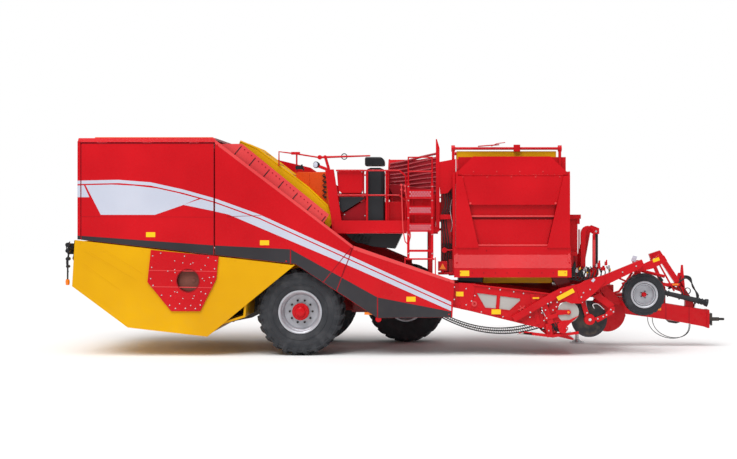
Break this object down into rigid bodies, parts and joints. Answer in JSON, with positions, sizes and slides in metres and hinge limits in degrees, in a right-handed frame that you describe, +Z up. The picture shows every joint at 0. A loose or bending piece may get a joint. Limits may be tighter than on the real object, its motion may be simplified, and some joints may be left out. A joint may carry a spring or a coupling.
{
  "type": "potato harvester",
  "caption": "Towed potato harvester: raised digging front, rising web, picking platform, front bunker and rear air separator, on balloon tyres with a steered drawbar and parking jack.",
  "frame": {"origin": "on the ground under the middle of the machine", "axes": "+X forward to the hitch, +Y to the left, +Z up"},
  "size_m": [12.62, 3.3, 4.035],
  "materials": {
    "red_paint": "gloss enamel, dusty low down",
    "dark_red_paint": "satin enamel",
    "orange_red_paint": "satin enamel",
    "yellow_paint": "satin enamel",
    "black_steel": "satin black",
    "silver_paint": "silver enamel",
    "bright_steel": "ground and plated",
    "tyre_rubber": "matt, with soil in the tread",
    "black_plastic": "matt"
  },
  "bodies": {
    "chassis": {"main_frame": "dark_red_paint", "axle_beam": "dark_red_paint", "bogie_beam": "dark_red_paint", "rear_hood": "red_paint", "belly_cheek_right": "yellow_paint", "belly_cheek_left": "yellow_paint", "belly_trough": "yellow_paint", "fan_cover_right": "red_paint", "side_panel_mid": "red_paint", "side_panel_front": "red_paint", "channel_wall": "red_paint", "main_web": "black_steel", "flap_strip": "red_paint", "channel_cover": "yellow_paint", "side_panel_left": "red_paint", "platform_right": "red_paint", "platform_left": "red_paint", "picking_table": "red_paint", "air_duct": "black_plastic", "separator_deck": "orange_red_paint", "bunker_tub": "red_paint", "rear_lamp_bar": "black_steel"},
    "steering_knuckle": {"knuckle_right": "dark_red_paint"},
    "wheel_right": {"tyre_right": "tyre_rubber", "rim_right": "silver_paint"},
    "wheel_left_rear": {"tyre_left_rear": "tyre_rubber", "rim_left_rear": "silver_paint"},
    "wheel_left_front": {"tyre_left_front": "tyre_rubber", "rim_left_front": "silver_paint"},
    "jack": {"jack_leg": "bright_steel"},
    "tow_bar": {"drawbar": "red_paint", "hitch_eye": "black_steel", "drive_shaft": "black_plastic", "cable_left": "black_plastic", "cable_right": "black_plastic"},
    "digging_front": {"intake_channel": "red_paint", "digging_web": "bright_steel", "swan_neck": "red_paint"},
    "right_disc": {"disc_right": "black_steel"},
    "left_disc": {"disc_left": "dark_red_paint"},
    "depth_wheel_arm": {"depth_arm": "red_paint"},
    "depth_wheel": {"tyre_depth": "tyre_rubber", "rim_depth": "silver_paint"},
    "door": {"side_door": "red_paint"},
    "bunker_side": {"bunker_head": "red_paint"},
    "ladder": {"access_ladder": "red_paint"},
    "fan": {"fan_rotor": "silver_paint"},
    "lift_barrel": {"lift_cylinder_barrel": "black_steel"},
    "lift_rod": {"lift_cylinder_rod": "bright_steel"},
    "swing_barrel": {"swing_cylinder_barrel": "black_steel"},
    "swing_rod": {"swing_cylinder_rod": "bright_steel"}
  },
  "joints": [
    {"name": "right_wheel_steer", "type": "hinge", "parent": "chassis", "child": "steering_knuckle", "pos_m": [-1.96, -0.8, 0.80859], "axis": [0, 0, 1], "range_deg": [-8, 8]},
    {"name": "right_wheel_spin", "type": "hinge", "parent": "steering_knuckle", "child": "wheel_right", "pos_m": [-1.96, -1.1, 0.80859], "axis": [0, 1, 0], "continuous": true},
    {"name": "left_rear_wheel_spin", "type": "hinge", "parent": "chassis", "child": "wheel_left_rear", "pos_m": [-1.86, 1.3, 0.80859], "axis": [0, 1, 0], "continuous": true},
    {"name": "left_front_wheel_spin", "type": "hinge", "parent": "chassis", "child": "wheel_left_front", "pos_m": [-0.04, 1.3, 0.80859], "axis": [0, 1, 0], "continuous": true},
    {"name": "jack_slide", "type": "slide", "parent": "chassis", "child": "jack", "axis": [0, 0, 1], "range_m": [0, 0.4]},
    {"name": "drawbar_swing", "type": "hinge", "parent": "chassis", "child": "tow_bar", "pos_m": [4.2, 0.27, 0.8], "axis": [0, 0, 1], "range_deg": [-15, 15]},
    {"name": "digging_depth", "type": "hinge", "parent": "chassis", "child": "digging_front", "pos_m": [0.3, -0.875, 1.05], "axis": [0, 1, 0], "range_deg": [0, 8]},
    {"name": "right_disc_spin", "type": "hinge", "parent": "digging_front", "child": "right_disc", "pos_m": [3.415, -1.37, 0.672], "axis": [0, 1, 0], "continuous": true},
    {"name": "left_disc_spin", "type": "hinge", "parent": "digging_front", "child": "left_disc", "pos_m": [3.86, -0.36, 0.715], "axis": [0, 1, 0], "continuous": true},
    {"name": "depth_arm_swing", "type": "hinge", "parent": "digging_front", "child": "depth_wheel_arm", "pos_m": [4.33, -1.02, 1.69], "axis": [0, 1, 0], "range_deg": [-20, 20]},
    {"name": "depth_wheel_spin", "type": "hinge", "parent": "depth_wheel_arm", "child": "depth_wheel", "pos_m": [4.455, -1.2, 1.123], "axis": [0, 1, 0], "continuous": true},
    {"name": "side_door_hinge", "type": "hinge", "parent": "chassis", "child": "door", "pos_m": [-4.76, -1.625, 3.94], "axis": [-1, 0, 0], "range_deg": [0, 80]},
    {"name": "bunker_side_hinge", "type": "hinge", "parent": "chassis", "child": "bunker_side", "pos_m": [1.99, 1.1, 2.08], "axis": [-1, 0, 0], "range_deg": [0, 60]},
    {"name": "ladder_fold", "type": "hinge", "parent": "chassis", "child": "ladder", "pos_m": [0.27, -1.6, 1.8], "axis": [1, 0, 0], "range_deg": [0, 150]},
    {"name": "fan_spin", "type": "hinge", "parent": "chassis", "child": "fan", "pos_m": [-4.007, 0, 1.403], "axis": [0, 1, 0], "continuous": true},
    {"name": "lift_barrel_tilt", "type": "hinge", "parent": "chassis", "child": "lift_barrel", "pos_m": [3.61, -0.77, 2.3], "axis": [0, 1, 0], "range_deg": [-3, 1]},
    {"name": "lift_rod_slide", "type": "slide", "parent": "lift_barrel", "child": "lift_rod", "axis": [0, 0, -1], "range_m": [0, 0.475]},
    {"name": "swing_barrel_turn", "type": "hinge", "parent": "chassis", "child": "swing_barrel", "pos_m": [3.3, 0.66, 0.84], "axis": [0, 0, 1], "range_deg": [-6, 6]},
    {"name": "swing_rod_slide", "type": "slide", "parent": "swing_barrel", "child": "swing_rod", "axis": [0.9971, -0.0767, 0], "range_m": [-0.09, 0.09]}
  ],
  "couplings": [
    {"joint": "lift_barrel_tilt", "follows": "digging_depth", "ratio": -0.2204},
    {"joint": "lift_rod_slide", "follows": "digging_depth", "m_per_rad": 3.338},
    {"joint": "swing_barrel_turn", "follows": "drawbar_swing", "ratio": 0.2869},
    {"joint": "swing_rod_slide", "follows": "drawbar_swing", "m_per_rad": -0.3184}
  ]
}
